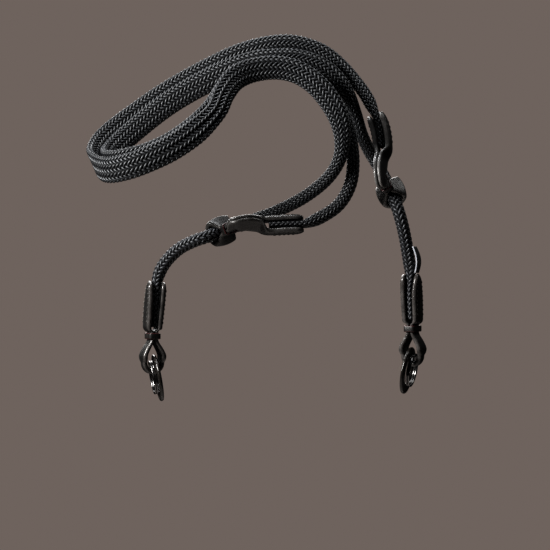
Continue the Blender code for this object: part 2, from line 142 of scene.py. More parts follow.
# Leather forms that the solids don't have, or have narrower: the wraps' eased mouths and the shares
# of the strip's width at an end wrap's mouth, middle and foot, and the sliders' humps and collars
WRAP_FLARE = 0.0004
MOUTH_TURN = 0.5
WRAP_WIDTHS = (0.96, 1.02, 0.98)
HUMP_WIDTH = 0.0098
COLLAR_WIDTH = 0.0136
COLLAR_CUP = 0.0011

# A strip's section: the points on its faces and edges, its rounded edges and swollen outside, the
# angle up to which an edge is fully painted, and the mark of what paint there is past it
FACE_POINTS = 7
EDGE_POINTS = 5
EDGE_ROUNDING = 0.00095
OUTER_SWELL = 0.0006
PAINTED_ARC = 1.2
EDGE_FADE = 0.35

# A strip's tips: how far their corners are rounded and cut in, and how they thin and close
CORNER_ROUNDING = 0.0042
CORNER_CUT = 0.8
TIP_THINNING = 0.45
TIP_CLOSING = 0.1
TIP_MARK = 0.3

# How finely a strip is made between its stations and round its fold, and the stretch that is sewn
END_STEPS = (16, 6, 8, 3, 14, 8)
END_FOLD_STEPS = 18
END_SEWN = (4, 22)
SLIDER_STEPS = (14, 5, 6, 6, 6, 6, 3, 12)
SLIDER_FOLD_STEPS = 22
SLIDER_SEWN = (5, 19)

# The stitches: their spacing, and how each one's thread rises, sinks and thins to its ends
STITCH_PITCH = 0.0025
STITCH_LENGTH = 0.0018
STITCH_THREAD = 0.00042
STITCH_INSET = 0.0015
STITCH_RISE = 0.62
STITCH_SINK = 0.35
STITCH_END_SHARE = 0.55
STITCH_RINGS = 7
STITCH_SIDES = 6

# The rounding of the keepers, and the sine of their section's angle past which they are painted
KEEPER_CORNER = 0.0007
KEEPER_CORNER_STEPS = 4
KEEPER_SIDES = 12
KEEPER_SQUARENESS = (0.5, 0.4)
KEEPER_PAINTED = 0.8

# The winding of the split rings: where the wire starts, steps over and stops short
RING_WINDINGS = 2
RING_SPLIT = 0.00006
RING_START = 2.2
RING_STEP_OVER = math.radians(34)
RING_END_GAP = 0.10
RING_SQUARENESS = 0.55
RING_STEPS = 96
RING_SIDES = 12

# The rounding of the guards' rims, and the points between them
GUARD_ROUNDING = 0.9
GUARD_FACE_SHARES = (0.2, 0.5, 0.8)
GUARD_RIM_STEP = 30
GUARD_STEPS = 72

# The label's rounding, the cosine past which its section is light rim, and the lighter patch on the lower
# part of one face
TAG_STEPS = 20
TAG_SIDES = 16
TAG_SQUARENESS = (0.4, 0.5)
TAG_RIM = 0.9
PATCH_SHARE = 0.45
PATCH_MARK = 0.6

# How far each cord is spread to the neck band and how deep its creases are, along its length
Spread = namedtuple("Spread", "along spread crease")
OUTER_SPREAD = [
    Spread(0.00, 0.0, 0.0), Spread(0.25, 0.0, 0.0), Spread(0.33, 0.85, 0.0), Spread(0.41, 1.0, 0.0),
    Spread(0.46, 0.72, 0.16), Spread(0.49, 1.1, 0.1), Spread(0.55, 1.1, 0.0), Spread(0.72, 1.0, 0.0),
    Spread(0.80, 0.85, 0.0), Spread(0.88, 0.45, 0.0), Spread(0.94, 0.0, 0.0), Spread(1.00, 0.0, 0.0)]
INNER_SPREAD = [
    Spread(0.00, 0.0, 0.0), Spread(0.20, 0.0, 0.0), Spread(0.28, 0.6, 0.0), Spread(0.38, 1.05, 0.0),
    Spread(0.48, 0.95, 0.0), Spread(0.60, 0.95, 0.0), Spread(0.68, 0.6, 0.1), Spread(0.75, 0.8, 0.0),
    Spread(0.82, 0.2, 0.0), Spread(0.88, 0.0, 0.0), Spread(1.00, 0.0, 0.0)]

# How far each end is turned about the upright: the leather's wrap, its fold, and the ring
Turns = namedtuple("Turns", "wrap fold ring")
END_TURNS = {
    "left": Turns(math.radians(-20), math.radians(-24), math.radians(-11)),
    "right": Turns(math.radians(28), math.radians(29), math.radians(18))}

# The sliders: the way the strip's width points at the wrap, the middle of the hump in millimetres,
# the way its width points there, the side of the cord that the keeper lies on, and the number of
# the route point that the collar goes round
Slider = namedtuple("Slider", "wrap_width neck neck_width toward collar_at")
SLIDERS = {
    "right": Slider((0.26, 0.97, 0.0), [(52.5, -7.5, -43), (51.5, -11.5, -48.5), (52, -12.5, -54)],
                    (0.42, 0.88, 0.2), (0.35, 0.9, -0.3), 7),
    "left": Slider((0.0, 0.98, -0.15), [(-14.5, -13, -78), (-20, -15.5, -77.5), (-25, -15.5, -78.5)],
                   (0.2, 0.78, -0.55), (-0.55, 0.80, -0.18), 7)}

# The braid: the number of yarns, the length of cord that a crossing takes, a yarn's thickness, how
# far it rises and dives, how deep its middle lies, its width as a share of its room, and its sides.
# The hanging ends are braided coarser than the neck, and the sliders' collars hide the change.
# Then how flat and how much wider a yarn runs where it rises, the shift that gives each yarn other
# filaments, the scales of the filaments along it and round it, and the points along it.
Braid = namedtuple("Braid", "carriers row thickness lift depth cover sides")
NECK_BRAID = Braid(28, 0.00125, 0.00095, 0.00056, 0.00083, 0.71, 6)
END_BRAID = Braid(16, 0.00128, 0.00110, 0.00062, 0.00096, 0.73, 6)
FLOAT_FLATNESS = 1.2
FLOAT_SWELL = 0.12
YARN_OFFSET = 37.0
FILAMENT_SCALES = (0.55, 22.0)
SAMPLES_A_ROW = 2

# The grid that a cord's surface is read from, the core under it, which takes every third point of
# the grid, and the points of the path worked out along the cord
GRID_STEP = 0.0007
GRID_SIDES = 84
CORE_DEPTH = 0.00120
CORE_THINNING = 3
PATH_POINTS = 500

# The colours of the yarns, each from dark to light, the hanging ends' yarn being a lighter copy of the
# neck's as painted light, and the near black painted as shade where a yarn dives; of the leathers'
# faces and painted edges, each from dark to light, the sliders' being copies coloured for their light;
# and how strong the leather's creases are against its grain
YARNS = {
    "neck_yarn": ((0.0040, 0.0044, 0.0055), (0.0125, 0.0136, 0.0168)),
    # The hanging ends' yarn is the neck's yarn in a lighter copy, painted lighter for the light that falls
    # on them
    "end_yarn": ((0.0085, 0.0089, 0.0110), (0.0235, 0.0246, 0.0300))}
# Near black, painted as shade where a yarn dives under others
RECESS_PAINTED_SHADE = (0.0006, 0.0006, 0.0008, 1.0)
RECESS_ROUGHNESS = 0.95
CREASING = 3.5
Leather = namedtuple("Leather", "face_low face_high edge_low edge_high")
LEATHERS = {
    "end_leather_finish": Leather(
        (0.0022, 0.0020, 0.0019), (0.0065, 0.0058, 0.0055), (0.026, 0.024, 0.023), (0.090, 0.083, 0.080)),
    # The sliders' two copies are one leather coloured for the light on each: the right one's faces and, most
    # of all, its painted edges are lighter, as painted highlight
    "left_slider_lit_copy": Leather(
        (0.0030, 0.0024, 0.0022), (0.0080, 0.0062, 0.0056), (0.022, 0.021, 0.020), (0.075, 0.072, 0.070)),
    "right_slider_lit_copy": Leather(
        (0.0040, 0.0034, 0.0032), (0.0110, 0.0092, 0.0086), (0.060, 0.058, 0.056), (0.190, 0.184, 0.180)),
    "guard_leather_finish": Leather(
        (0.004, 0.0036, 0.0033), (0.010, 0.009, 0.008), (0.006, 0.005, 0.0045), (0.016, 0.014, 0.012)),
    "keeper_leather_finish": Leather(
        (0.004, 0.0036, 0.0033), (0.011, 0.009, 0.008), (0.030, 0.006, 0.007), (0.070, 0.014, 0.015)),
    "tag_finish": Leather(
        (0.015, 0.015, 0.015), (0.040, 0.040, 0.040), (0.22, 0.23, 0.26), (0.50, 0.52, 0.56))}

# The camera, at the photograph's angle: what it looks at, from how far off, and how wide it sees
VIEW_CENTRE = Vector((-0.0049, 0.0, -0.1055))
VIEW_DISTANCE = 0.9
VIEW_WIDTH = 0.2992
SENSOR = 36.0

# The studio: the floor, the lights, the backdrop that the camera sees and the dimmer light that the
# object gets from it
FLOOR_SIZE = 0.72
FLOOR_BELOW = 0.32
PALE = (0.30, 0.275, 0.26)
CLOUDED_SHARE = 0.96
Lamp = namedtuple("Lamp", "name place target size power colour")
LAMPS = [
    Lamp("key_light", (-0.78, -0.34, 0.30), (-0.02, 0, -0.05), (0.34, 0.26), 31.0, (1.0, 0.985, 0.96)),
    Lamp("top_light", (-0.14, 0.0, 0.72), (0, 0, -0.05), (0.30, 0.22), 7.0, (0.97, 0.985, 1.0)),
    Lamp("side_light", (0.50, 0.14, 0.66), (0.04, 0, -0.06), (0.30, 0.30), 3.0, (1.0, 0.99, 0.97)),
    Lamp("back_light", (-0.2, 0.8, 0.35), (0, 0, -0.05), (0.7, 0.5), 9.0, (1.0, 0.99, 0.98))]
BACKDROP = (0.224, 0.186, 0.168, 1.0)
DIM = (0.011, 0.010, 0.010, 1.0)
GAMMA = 0.8


def blend(low, high, share):
    """Part of the way from low to high."""
    return low + (high - low) * share


def ease(share):
    """A share with a soft start and end, held between 0 and 1."""
    share = min(max(share, 0.0), 1.0)
    return share * share * (3 - 2 * share)


def spline(before, start, end, after, share):
    """A point between start and end on the smooth curve through all four."""
    pull_in = (end - before) * 0.5
    pull_out = (after - start) * 0.5
    square, cube = share ** 2, share ** 3
    return (start * (2 * cube - 3 * square + 1) + pull_in * (cube - 2 * square + share)
            + end * (3 * square - 2 * cube) + pull_out * (cube - square))


class Route:
    """A smooth curve through chosen points, read by the distance along it."""

    PIECES = 12

    def __init__(self, points):
        self.points = []
        self.lengths = [0.0]
        for index in range(len(points) - 1):
            before = points[max(index - 1, 0)]
            after = points[min(index + 2, len(points) - 1)]
            for piece in range(self.PIECES):
                share = piece / self.PIECES
                self.points.append(spline(before, points[index], points[index + 1], after, share))
        self.points.append(points[-1].copy())
        for first, second in zip(self.points, self.points[1:]):
            self.lengths.append(self.lengths[-1] + (second - first).length)
        self.length = self.lengths[-1]
        self.table = np.array([tuple(point) for point in self.points])

    def at_point(self, index):
        """The distance along the curve of one of the chosen points."""
        return self.lengths[index * self.PIECES]

    def place(self, distance):
        """The point at a distance along the curve."""
        return read_vector(distance, self.lengths, self.table)

    def heading(self, distance):
        """The direction of travel at a distance along the curve."""
        return (self.place(distance + HEADING_REACH) - self.place(distance - HEADING_REACH)).normalized()


def read_vector(at, places, table):
    """A vector between the rows of a table that stand at rising places."""
    return Vector([float(np.interp(at, places, table[:, axis])) for axis in range(3)])


def band_directions(route, distances):
    """The way the neck band's width points: in the front view, square to the cord."""
    raw, weights = [], []
    steady = None
    for distance in distances:
        heading = route.heading(distance)
        across = Vector((heading.z, 0.0, -heading.x))
        weights.append(across.length ** 3)
        if steady and across.dot(steady) < 0:
            across = -across
        if across.length > STEADY_SHARE:
            steady = across
        raw.append(across)
    directions = []
    for index, distance in enumerate(distances):
        total = Vector()
        for near in range(max(index - STEADY_REACH, 0), min(index + STEADY_REACH + 1, len(raw))):
            total += raw[near] * weights[near] / (1 + abs(near - index))
        heading = route.heading(distance)
        directions.append((total - heading * total.dot(heading)).normalized())
    return directions


def read_spread(table, share):
    """The spread and crease at a share of the cord's length."""
    for low, high in zip(table, table[1:]):
        if share <= high.along:
            part = ease((share - low.along) / (high.along - low.along))
            return blend(low.spread, high.spread, part), blend(low.crease, high.crease, part)
    return table[-1].spread, table[-1].crease


def squeeze_at(distance, length, first_wrap, last_wrap):
    """1 deep inside the wraps at the cord's two ends, 0 on the free cord, easing through each mouth."""
    first = 1 - ease((distance / first_wrap.length - first_wrap.mouth) / MOUTH_REACH)
    last = 1 - ease(((length - distance) / last_wrap.length - last_wrap.mouth) / MOUTH_REACH)
    return max(first, last)


def outline(width, thickness, crease, squareness):
    """Points round the cord's section at even spacing, starting at its right-hand edge."""
    angles = np.linspace(0, 2 * math.pi, OUTLINE_ANGLES)
    power = 2 / squareness
    x = width / 2 * np.sign(np.cos(angles)) * np.abs(np.cos(angles)) ** power
    y = thickness / 2 * np.sign(np.sin(angles)) * np.abs(np.sin(angles)) ** power
    folds = 0.5 + 0.5 * np.cos(x / (width / 2) * math.pi * CREASE_WAVES)
    y = y * (1 - crease * CREASE_DEPTH * folds)
    walk = np.concatenate([[0], np.cumsum(np.hypot(np.diff(x), np.diff(y)))])
    even = np.linspace(0, walk[-1], GRID_SIDES + 1)[:-1]
    return np.interp(even, walk, x), np.interp(even, walk, y), walk[-1]


class CordSurface:
    """The outer surface of a cord as a grid of points: along it, and round it."""

    def __init__(self, route, table, first_wrap, last_wrap):
        self.route = route
        coarse = round(route.length / CORD_STEP)
        coarse_at = [route.length * index / coarse for index in range(coarse + 1)]
        directions = np.array([tuple(way) for way in band_directions(route, coarse_at)])
        count = round(route.length / GRID_STEP)
        self.distances = np.linspace(0, route.length, count + 1)
        rows, girths = [], []
        for distance in self.distances.tolist():
            spread, crease = read_spread(table, distance / route.length)
            squeeze = squeeze_at(distance, route.length, first_wrap, last_wrap)
            width = blend(blend(CORD_DIAMETER, NECK_WIDTH, spread), WRAP_SLOT, squeeze)
            thickness = blend(blend(CORD_DIAMETER, NECK_THICKNESS, spread), CLAMPED_DEPTH, squeeze)
            heading = route.heading(distance)
            across = read_vector(distance, coarse_at, directions)
            wrap = first_wrap if distance < route.length / 2 else last_wrap
            clamped = heading.cross(wrap.way).normalized()
            if clamped.dot(across) < 0:
                clamped = -clamped
            across = across.lerp(clamped, squeeze)
            across = (across - heading * across.dot(heading)).normalized()
            squareness = 2 + SQUARENESS * min(spread + squeeze, 1.0)
            x, y, girth = outline(width, thickness, crease, squareness)
            outward = heading.cross(across)
            rows.append(np.array(route.place(distance)) + np.outer(x, across) + np.outer(y, outward))
            girths.append(girth)
        self.places = np.array(rows)
        self.girths = np.array(girths)
        along = np.gradient(self.places, axis=0)
        wrapped = np.concatenate([self.places[:, -1:], self.places, self.places[:, :1]], axis=1)
        self.normals = unit(np.cross(along, wrapped[:, 2:] - wrapped[:, :-2]))
        middle = self.places.mean(axis=1, keepdims=True)
        if ((self.places - middle) * self.normals).sum() < 0:
            self.normals = -self.normals

    def read(self, distance, turn):
        """Places and normals at arrays of distances along and shares of a turn round."""
        along = np.clip(distance / self.route.length, 0, 1) * (len(self.distances) - 1)
        low = np.minimum(along.astype(int), len(self.distances) - 2)
        along = (along - low)[:, None]
        round_it = (turn % 1.0) * GRID_SIDES
        left = round_it.astype(int) % GRID_SIDES
        right = (left + 1) % GRID_SIDES
        round_it = (round_it - np.floor(round_it))[:, None]
        found = []
        for grid in (self.places, self.normals):
            near = blend(grid[low, left], grid[low, right], round_it)
            far = blend(grid[low + 1, left], grid[low + 1, right], round_it)
            found.append(blend(near, far, along))
        return found[0], unit(found[1])


def unit(vectors):
    """Arrays of vectors made one long."""
    return vectors / np.linalg.norm(vectors, axis=-1, keepdims=True)


def add_object(name, data):
    """A new object in the scene, from its mesh, camera or light."""
    thing = bpy.data.objects.new(name, data)
    bpy.context.scene.collection.objects.link(thing)
    return thing


def tube_mesh(name, rings, closed=False, marks=None):
    """A mesh from an array of tubes: tube, ring along it, point round it. Each point may have a mark."""
    tubes, count, sides = rings.shape[:3]
    number = np.arange(tubes * count * sides).reshape(tubes, count, sides)
    ahead = np.roll(number, -1, axis=1) if closed else number[:, 1:]
    behind = number if closed else number[:, :-1]
    corners = [behind, np.roll(behind, -1, axis=2), np.roll(ahead, -1, axis=2), ahead]
    faces = np.stack(corners, axis=-1).reshape(-1, 4).tolist()
    if not closed:
        faces += number[:, 0, ::-1].tolist()
        faces += number[:, -1].tolist()
    mesh = bpy.data.meshes.new(name)
    mesh.from_pydata(rings.reshape(-1, 3).tolist(), [], faces)
    mesh.shade_smooth()
    if marks is not None:
        layer = mesh.attributes.new("mark", "FLOAT_VECTOR", "POINT")
        layer.data.foreach_set("vector", np.ascontiguousarray(marks, dtype=np.float32).reshape(-1))
    return add_object(name, mesh)


def make_core(name, surface):
    """The dark inside of the braid, which also stands for the cord where it is measured."""
    places = surface.places[::CORE_THINNING, ::CORE_THINNING]
    normals = surface.normals[::CORE_THINNING, ::CORE_THINNING]
    return tube_mesh(name, (places - normals * CORE_DEPTH)[None])


def make_yarns(name, surface, hand, braid, first, last):
    """The yarns that run round a stretch of cord one way. A yarn goes over two others and under two."""
    steps = np.arange(0, (last - first) / braid.row, 1 / SAMPLES_A_ROW)
    distances = first + steps * braid.row
    girth = np.interp(distances, surface.distances, surface.girths)
    lean = np.arctan2(girth, braid.carriers * braid.row)
    room = girth / braid.carriers * np.cos(lean) * braid.cover
    walk = np.broadcast_to((distances / MM)[:, None], (len(steps), braid.sides))
    turn = np.broadcast_to(np.arange(braid.sides) / braid.sides, walk.shape)
    yarns, marks = [], []
    for yarn in range(braid.carriers // 2):
        column = 2 * yarn + hand * steps
        place, normal = surface.read(distances, column / braid.carriers)
        over = hand * np.tanh(FLOAT_FLATNESS * np.cos(math.pi / 2 * (column - 0.5)))
        centre = place + normal * (over * braid.lift - braid.depth)[:, None]
        travel = unit(np.gradient(centre, axis=0))
        side = unit(np.cross(travel, normal))
        up = np.cross(side, travel)
        half_width = room * (1 + FLOAT_SWELL * over)
        ring = []
        for corner in range(braid.sides):
            angle = 2 * math.pi * (corner + 0.5) / braid.sides - math.pi / 2
            ring.append(centre + side * (half_width * math.cos(angle))[:, None]
                        + up * (braid.thickness / 2 * math.sin(angle)))
        yarns.append(np.stack(ring, axis=1))
        rise = np.broadcast_to(over[:, None], walk.shape)
        marks.append(np.stack([walk + YARN_OFFSET * (2 * yarn + hand), turn, rise], axis=-1))
    return tube_mesh(name, np.array(yarns), marks=np.array(marks))


# Materials

# The numbers of a Mix node's two inputs and its output, for each kind of data
MIX_SOCKETS = {"RGBA": (6, 7, 2), "FLOAT": (2, 3, 0)}


class Look:
    """A material in the making. Each node that is added gives back one of its outputs."""

    def __init__(self, name):
        self.material = bpy.data.materials.new(name)
        self.material.use_nodes = True
        self.tree = self.material.node_tree

    def fill(self, node, inputs):
        """Set a node's inputs, each to a number, a colour or another node's output."""
        for key, value in inputs.items():
            if isinstance(value, bpy.types.NodeSocket):
                self.tree.links.new(value, node.inputs[key])
            else:
                node.inputs[key].default_value = value

    def add(self, kind, output, inputs, **settings):
        """Add a node with its inputs and settings."""
        node = self.tree.nodes.new("ShaderNode" + kind)
        for key, value in settings.items():
            setattr(node, key, value)
        self.fill(node, inputs)
        return node.outputs[output]

    def place(self):
        """The place on the piece."""
        return self.add("TexCoord", "Object", {})

    def mark(self):
        """The three numbers of the mesh's mark."""
        mark = self.add("Attribute", "Vector", {}, attribute_name="mark")
        return self.add("SeparateXYZ", 0, {"Vector": mark}).node.outputs

    def reckon(self, operation, *values):
        """A calculation on values."""
        return self.add("Math", 0, dict(enumerate(values)), operation=operation)

    def noise(self, at, scale, detail, roughness=0.5):
        """Cloudy noise."""
        inputs = {"Vector": at, "Scale": scale, "Detail": detail, "Roughness": roughness}
        return self.add("TexNoise", "Fac", inputs)

    def stretch(self, source, low, high, from_low=0.0, from_high=1.0):
        """A value carried over from one range to another."""
        return self.add("MapRange", 0, {"Value": source, 1: from_low, 2: from_high, 3: low, 4: high})

    def ramp(self, source, *stops):
        """A colour between two stops, each a place and a colour."""
        colour = self.add("ValToRGB", "Color", {"Fac": source})
        for element, (place, tone) in zip(colour.node.color_ramp.elements, stops):
            element.position = place
            element.color = (*tone, 1.0)
        return colour

    def mix(self, share, low, high, kind="RGBA", blend_type="MIX"):
        """Part of the way from low to high, or another blend of the two."""
        first, second, result = MIX_SOCKETS[kind]
        return self.add("Mix", result, {"Factor": share, first: low, second: high},
                        data_type=kind, blend_type=blend_type)

    def bump(self, height, strength, distance):
        """A bumpy surface."""
        return self.add("Bump", "Normal", {"Height": height, "Strength": strength, "Distance": distance})

    def shade(self, inputs):
        """Fill the shader's inputs and give back the finished material."""
        self.fill(self.tree.nodes["Principled BSDF"], inputs)
        return self.material


def yarn_finish(name, low, high):
    """Black satin yarn: fine filaments along it, cool dark grey where it rises, and painted shade, black and
    dull, where it dives.
    """
    look = Look(name)
    walk, turn, rise = look.mark()
    along = look.reckon("MULTIPLY", walk, FILAMENT_SCALES[0])
    around = look.reckon("MULTIPLY", turn, FILAMENT_SCALES[1])
    streak = look.noise(look.add("CombineXYZ", "Vector", {"X": along, "Y": around}),
                        scale=1.0, detail=3.0, roughness=0.6)
    blotch = look.noise(look.place(), scale=95.0, detail=2.0)
    # Painted shade: where the yarn dives into a recess, its colour is mixed towards near black
    raised = look.stretch(rise, 0.0, 1.0, from_low=0.05, from_high=0.90)
    colour = look.ramp(streak, (0.30, low), (0.72, high))
    tint = look.ramp(blotch, (0.35, (0.82, 0.84, 0.90)), (0.70, (1.0, 1.0, 1.0)))
    tinted = look.mix(1.0, colour, tint, blend_type="MULTIPLY")
    gloss = look.stretch(streak, 0.33, 0.47)
    return look.shade({
        "Base Color": look.mix(raised, RECESS_PAINTED_SHADE, tinted),
        "Roughness": look.mix(raised, RECESS_ROUGHNESS, gloss, kind="FLOAT"),
        "Normal": look.bump(streak, strength=0.15, distance=0.00008),
        "Specular IOR Level": 0.60,
        "Specular Tint": (0.94, 0.97, 1.0, 1.0)})


def core_finish(name):
    """The inside of the braid, nearly black."""
    look = Look(name)
    noise = look.noise(look.place(), scale=900.0, detail=2.0)
    colour = look.ramp(noise, (0.3, (0.0010, 0.0010, 0.0012)), (0.7, (0.0030, 0.0030, 0.0035)))
    return look.shade({"Base Color": colour, "Roughness": 0.9, "Specular IOR Level": 0.1})


def leather_finish(name, colours):
    """Fine-grained leather. Its cut edges, marked on the mesh, are painted and burnished."""
    look = Look(name)
    place = look.place()
    edge = look.mark()[0]
    grain = look.add("TexVoronoi", "Distance", {"Vector": place, "Scale": 1700.0}, feature="SMOOTH_F1")
    wear = look.noise(place, scale=240.0, detail=5.0, roughness=0.65)
    fine = look.noise(place, scale=2600.0, detail=3.0)
    face_colour = look.ramp(wear, (0.35, colours.face_low), (0.72, colours.face_high))
    edge_colour = look.ramp(wear, (0.30, colours.edge_low), (0.75, colours.edge_high))
    face_gloss = look.stretch(wear, 0.36, 0.58)
    edge_gloss = look.stretch(wear, 0.15, 0.30)
    creased = look.reckon("MULTIPLY_ADD", wear, CREASING, look.reckon("ADD", grain, fine))
    return look.shade({
        "Base Color": look.mix(edge, face_colour, edge_colour),
        "Roughness": look.mix(edge, face_gloss, edge_gloss, kind="FLOAT"),
        "Normal": look.bump(creased, strength=0.5, distance=0.00012),
        "Specular IOR Level": 0.42})


def metal_finish(name):
    """Dark plated steel wire, lightly scratched."""
    look = Look(name)
    scratch = look.noise(look.place(), scale=1100.0, detail=6.0, roughness=0.7)
    return look.shade({
        "Base Color": look.ramp(scratch, (0.30, (0.085, 0.085, 0.088)), (0.75, (0.22, 0.215, 0.21))),
        "Roughness": look.stretch(scratch, 0.14, 0.34),
        "Normal": look.bump(scratch, strength=0.12, distance=0.00004),
        "Metallic": 1.0})


def thread_finish(name):
    """Waxed sewing thread, twisted."""
    look = Look(name)
    twist = look.add("TexWave", "Fac", {"Vector": look.place(), "Scale": 900.0, "Distortion": 3.0})
    colour = look.ramp(twist, (0.2, (0.020, 0.018, 0.016)), (0.8, (0.075, 0.068, 0.060)))
    return look.shade({"Base Color": colour, "Roughness": 0.5})


def floor_finish(name):
    """A pale, dull and faintly clouded floor."""
    look = Look(name)
    cloud = look.noise(look.place(), scale=14.0, detail=4.0)
    low = tuple(value * CLOUDED_SHARE for value in PALE)
    return look.shade({"Base Color": look.ramp(cloud, (0.3, low), (0.7, PALE)), "Roughness": 0.85})


def make_looks():
    """The materials of all pieces, by name."""
    made = {name: yarn_finish(name, low, high) for name, (low, high) in YARNS.items()}
    made["braid_core"] = core_finish("braid_core")
    made.update({name: leather_finish(name, colours) for name, colours in LEATHERS.items()})
    made["ring_metal"] = metal_finish("ring_metal")
    made["stitch_thread"] = thread_finish("stitch_thread")
    return made


def finish(thing, look):
    """Give a piece its material and the body that it rides on."""
    thing.data.materials.clear()
    thing.data.materials.append(looks[look])
    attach(thing, "root")
    return thing


# Leather

Station = namedtuple("Station", "place width_way half_gap width cup heading", defaults=(None,))


def read_stations(stations, steps):
    """Smooth stations between the chosen ones: places on a curve, sizes eased from one to the next."""
    places = [station.place for station in stations]
    smooth = []
    for index in range(len(stations) - 1):
        low, high = stations[index], stations[index + 1]
        before, after = places[max(index - 1, 0)], places[min(index + 2, len(places) - 1)]
        last = index == len(stations) - 2
        for step in range(steps[index] + (1 if last else 0)):
            share = step / steps[index]
            part = ease(share)
            fixed = low.heading if step == 0 else high.heading if step == steps[index] else None
            smooth.append(Station(
                spline(before, low.place, high.place, after, share),
                low.width_way.lerp(high.width_way, part).normalized(),
                blend(low.half_gap, high.half_gap, part), blend(low.width, high.width, part),
                blend(low.cup, high.cup, part), fixed))
    return smooth


def strip_frames(smooth):
    """The heading, width direction and leg direction at each station."""
    frames = []
    for index, station in enumerate(smooth):
        before = smooth[max(index - 1, 0)].place
        after = smooth[min(index + 1, len(smooth) - 1)].place
        heading = station.heading or (after - before).normalized()
        across = (station.width_way - heading * station.width_way.dot(heading)).normalized()
        frames.append((heading, across, heading.cross(across)))
    return frames


def sweep(name, sections, closed=False):
    """A leather piece through sections: each has a profile, its middle, and its two directions."""
    rings, marks = [], []
    for profile, centre, x_way, y_way in sections:
        rings.append([tuple(centre + x_way * x + y_way * y) for x, y, mark in profile])
        marks.append([(mark, 0.0, 0.0) for x, y, mark in profile])
    return tube_mesh(name, np.array([rings]), closed, np.array([marks]))


def strip_section(width, thickness, cup, swell):
    """The section of a strip: two faces and two rounded edges. Each point is across, out and edge mark."""
    half, thick = width / 2, (thickness + swell) / 2
    flat = half - EDGE_ROUNDING
    points = []
    for side in (1, -1):
        for index in range(EDGE_POINTS):
            angle = math.radians(-90 + 180 * index / (EDGE_POINTS - 1))
            x = flat + EDGE_ROUNDING * math.cos(angle)
            mark = 1.0 if abs(angle) < PAINTED_ARC else EDGE_FADE
            points.append((side * x, side * thick * math.sin(angle), mark))
        for index in range(1, FACE_POINTS - 1):
            x = side * flat * (1 - 2 * index / (FACE_POINTS - 1))
            points.append((x, side * thick, 0.0))
    return [(x, y + swell / 2 + cup * (1 - (x / half) ** 2), mark) for x, y, mark in points]


def close_tip(profile, centre, x_way, y_way):
    """One of a strip's two end sections, drawn in towards its middle."""
    middle_x, middle_y = np.mean(profile, axis=0).tolist()[:2]
    drawn = []
    for x, y, mark in profile:
        drawn.append((blend(x, middle_x, TIP_CLOSING), blend(y, middle_y, TIP_CLOSING), TIP_MARK))
    return drawn, centre, x_way, y_way


def make_strip(name, stations, steps, fold_steps):
    """One leather strip with painted edges: down one leg, round the last station, and up the other leg."""
    smooth = read_stations(stations, steps)
    frames = strip_frames(smooth)
    first_leg, fold, second_leg = [], [], []
    walked = 0.0
    for index, (station, (heading, across, out)) in enumerate(zip(smooth, frames)):
        if index:
            walked += (station.place - smooth[index - 1].place).length
        corner = max(1 - walked / CORNER_ROUNDING, 0.0)
        width = station.width - 2 * CORNER_ROUNDING * CORNER_CUT * (1 - math.sqrt(1 - corner ** 2))
        thickness = LEATHER * (1 - TIP_THINNING * corner ** 2)
        open_share = (station.half_gap - PAIR_HALF_GAP) / (WRAP_HALF_GAP - PAIR_HALF_GAP)
        swell = OUTER_SWELL * min(max(open_share, 0.0), 1.0) * (1 - corner ** 2)
        profile = strip_section(width, thickness, station.cup, swell)
        first_leg.append((profile, station.place + out * station.half_gap, across, out))
        second_leg.insert(0, (profile, station.place - out * station.half_gap, across, -out))
    for step in range(1, fold_steps):
        angle = math.pi * step / fold_steps
        way = out * math.cos(angle) + heading * math.sin(angle)
        fold.append((profile, station.place + way * station.half_gap, across, way))
    sections = first_leg + fold + second_leg
    sections[0] = close_tip(*sections[0])
    sections[-1] = close_tip(*sections[-1])
    return sweep(name, sections), smooth, frames


def make_stitches(name, smooth, frames, sewn):
    """Two rows of stitches on the outer face of each leg, along the sewn stretch of the smooth stations."""
    first, last = sewn
    lengths = [0.0]
    for low, high in zip(smooth[first:last], smooth[first + 1:last + 1]):
        lengths.append(lengths[-1] + (high.place - low.place).length)
    count = max(int((lengths[-1] - STITCH_LENGTH) / STITCH_PITCH), 1)
    margin = (lengths[-1] - (count - 1) * STITCH_PITCH - STITCH_LENGTH) / 2
    round_it = np.linspace(0, 2 * math.pi, STITCH_SIDES + 1)[:-1]
    threads = []
    for leg, row in ((1, 1), (1, -1), (-1, 1), (-1, -1)):
        track = []
        for station, (heading, across, out) in zip(smooth[first:last + 1], frames[first:last + 1]):
            x = station.width / 2 - STITCH_INSET
            rise = station.cup * (1 - (2 * x / station.width) ** 2) + LEATHER / 2 + OUTER_SWELL
            place = station.place + out * leg * (station.half_gap + rise) + across * row * x
            track.append((*place, *(out * leg), *across))
        track = np.array(track)
        for number in range(count):
            rings = []
            for share in np.linspace(0, 1, STITCH_RINGS):
                at = margin + number * STITCH_PITCH + STITCH_LENGTH * share
                there = np.array([np.interp(at, lengths, track[:, axis]) for axis in range(9)])
                place, out, across = there[:3], there[3:6], there[6:]
                arch = math.sin(math.pi * share)
                centre = place + out * (STITCH_THREAD * (STITCH_RISE * arch - STITCH_SINK))
                radius = STITCH_THREAD / 2 * blend(STITCH_END_SHARE, 1.0, arch)
                rings.append([centre + out * radius * math.sin(angle) + across * radius * math.cos(angle)
                              for angle in round_it])
            threads.append(rings)
    return tube_mesh(name, np.array(threads))


def squared(value, power):
    """A sine or cosine pushed out towards the corners of a square."""
    return math.copysign(abs(value) ** power, value)


